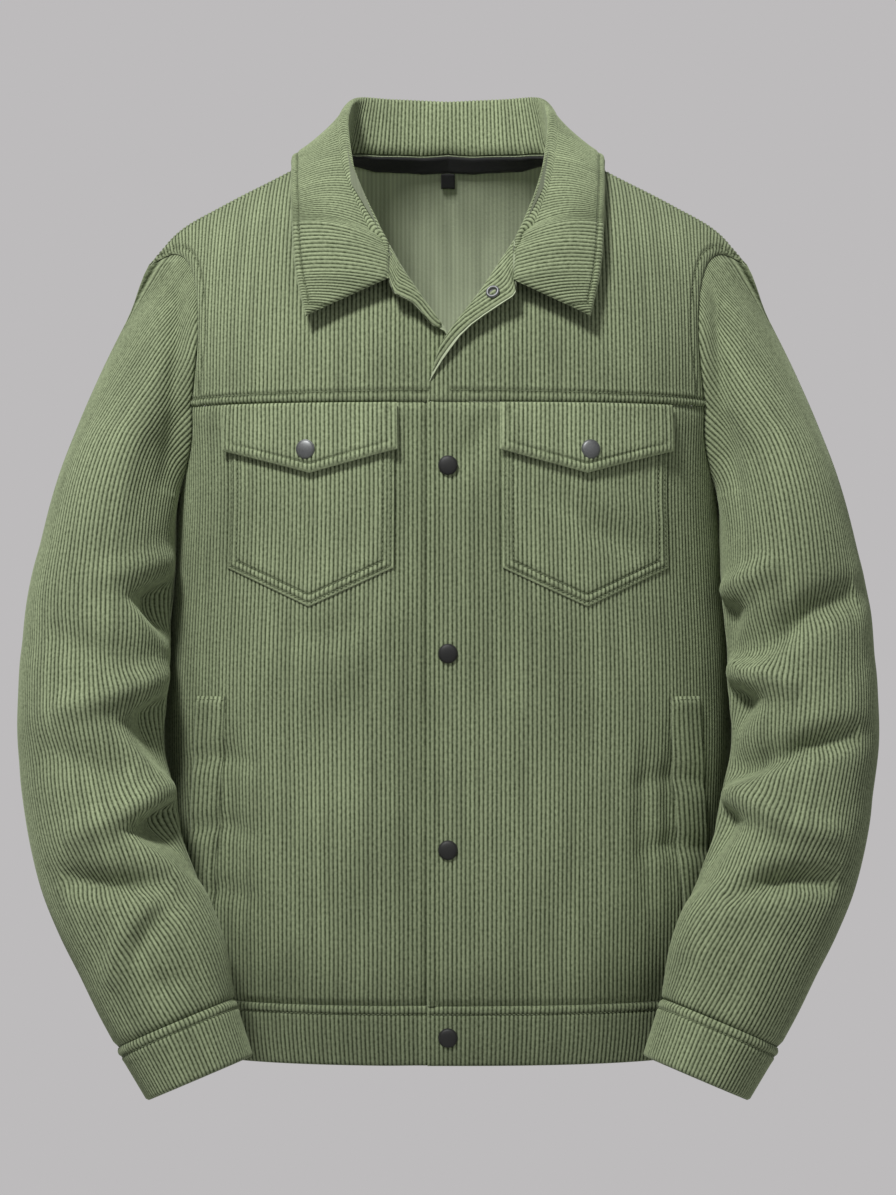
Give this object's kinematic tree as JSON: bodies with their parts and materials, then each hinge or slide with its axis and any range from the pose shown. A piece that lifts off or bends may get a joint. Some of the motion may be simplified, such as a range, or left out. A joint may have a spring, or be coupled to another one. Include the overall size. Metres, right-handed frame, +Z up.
{
  "type": "corduroy trucker jacket",
  "caption": "Waist-length green corduroy jacket, filled out as if worn, with an open spread collar, chest pockets with pointed flaps and snap closures.",
  "frame": {"origin": "middle of the neck base, level with the shoulder-neck points, where a hanger's hook or a wearer's neck would hold the jacket", "axes": "+Z up, -Y towards the front, +X towards the wearer's left"},
  "size_m": [0.6317, 0.3085, 0.7508],
  "materials": {
    "corduroy": "wide-wale cotton corduroy, matt with a soft nap",
    "collar_corduroy": "the same corduroy, seen along its nap and lighter",
    "hem_corduroy": "the same corduroy, in shade and darker",
    "tape": "black woven cotton tape",
    "black_snap": "matt black coated",
    "steel_snap": "gunmetal plated"
  },
  "bodies": {
    "root": {"back": "corduroy", "collar": "collar_corduroy", "cuff_left": "corduroy", "cuff_right": "corduroy", "facing_left": "collar_corduroy", "facing_right": "collar_corduroy", "flap_left": "corduroy", "flap_right": "corduroy", "front_left": "corduroy", "front_right": "corduroy", "front_yoke_left": "corduroy", "front_yoke_right": "corduroy", "hem_band": "hem_corduroy", "label_loop": "tape", "neck_tape": "tape", "pocket_left": "corduroy", "pocket_right": "corduroy", "sleeve_left": "corduroy", "sleeve_right": "corduroy", "snap_flap_left": "steel_snap", "snap_flap_right": "steel_snap", "snap_front_1": "black_snap", "snap_front_2": "black_snap", "snap_front_3": "black_snap", "snap_front_4": "black_snap", "snap_socket": "steel_snap", "welt_left": "corduroy", "welt_right": "corduroy"}
  },
  "joints": []
}
